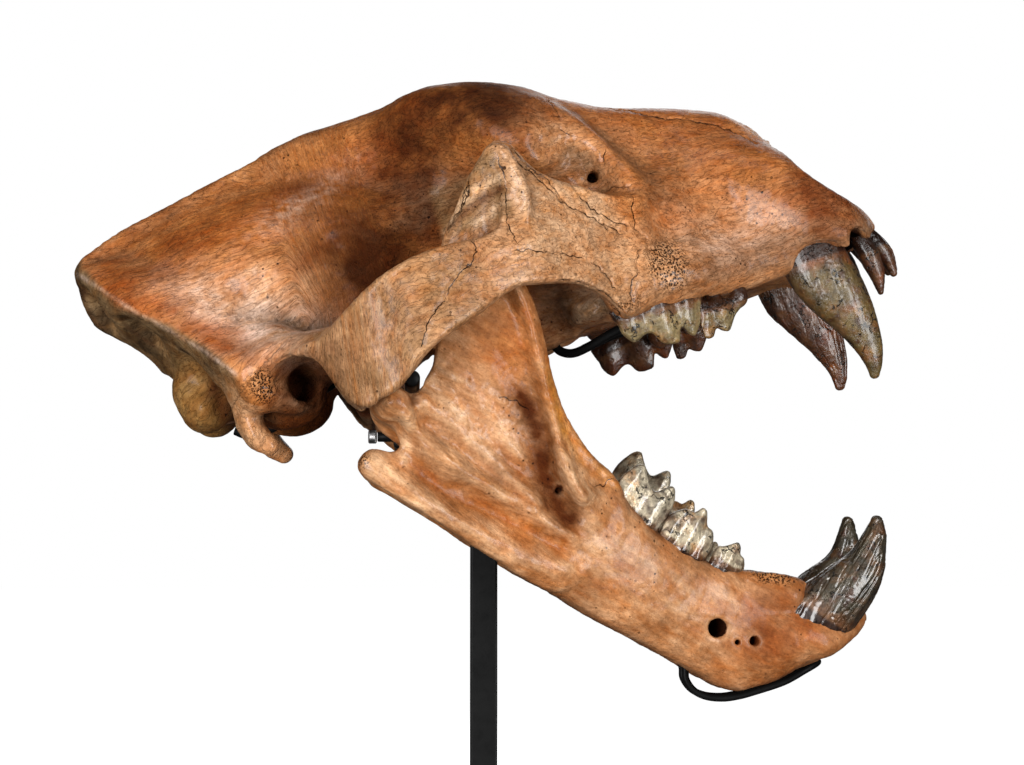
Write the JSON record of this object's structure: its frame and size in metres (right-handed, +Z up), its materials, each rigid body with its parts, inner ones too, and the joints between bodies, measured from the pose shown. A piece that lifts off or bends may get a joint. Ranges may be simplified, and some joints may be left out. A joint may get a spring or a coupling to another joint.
{
  "type": "american lion skull on a stand",
  "caption": "Fossil skull of a large extinct lion with jaws open, held life-size on a square steel post and flat base.",
  "frame": {"origin": "centre of the base plate's underside", "axes": "+X the way the skull faces, +Y the skull's left, +Z up"},
  "size_m": [0.4225, 0.2626, 0.4643],
  "materials": {
    "bone_cranium": "glossy varnished orange-brown fossil bone",
    "bone_jugal": "satin tan fossil bone",
    "bone_mandible": "satin tan-orange fossil bone",
    "enamel": "shiny grey-green cracked enamel",
    "black_steel": "satin black paint",
    "bright_steel": "bare threaded steel"
  },
  "bodies": {
    "root": {"cranium": "bone_cranium", "jugal_left": "bone_jugal", "jugal_right": "bone_jugal", "mandible_left": "bone_mandible", "mandible_right": "bone_mandible", "upper_canine_left": "enamel", "upper_canine_right": "enamel", "lower_canine_left": "enamel", "lower_canine_right": "enamel", "stand_base": "black_steel", "stand_post": "black_steel", "stand_skull_bar": "black_steel", "stand_skull_arm": "black_steel", "stand_rear_rod": "black_steel", "stand_palate_clip": "black_steel", "stand_jaw_bar": "black_steel", "stand_jaw_arm": "black_steel", "stand_chin_cradle": "black_steel", "stand_jaw_bolt": "bright_steel"}
  },
  "joints": []
}
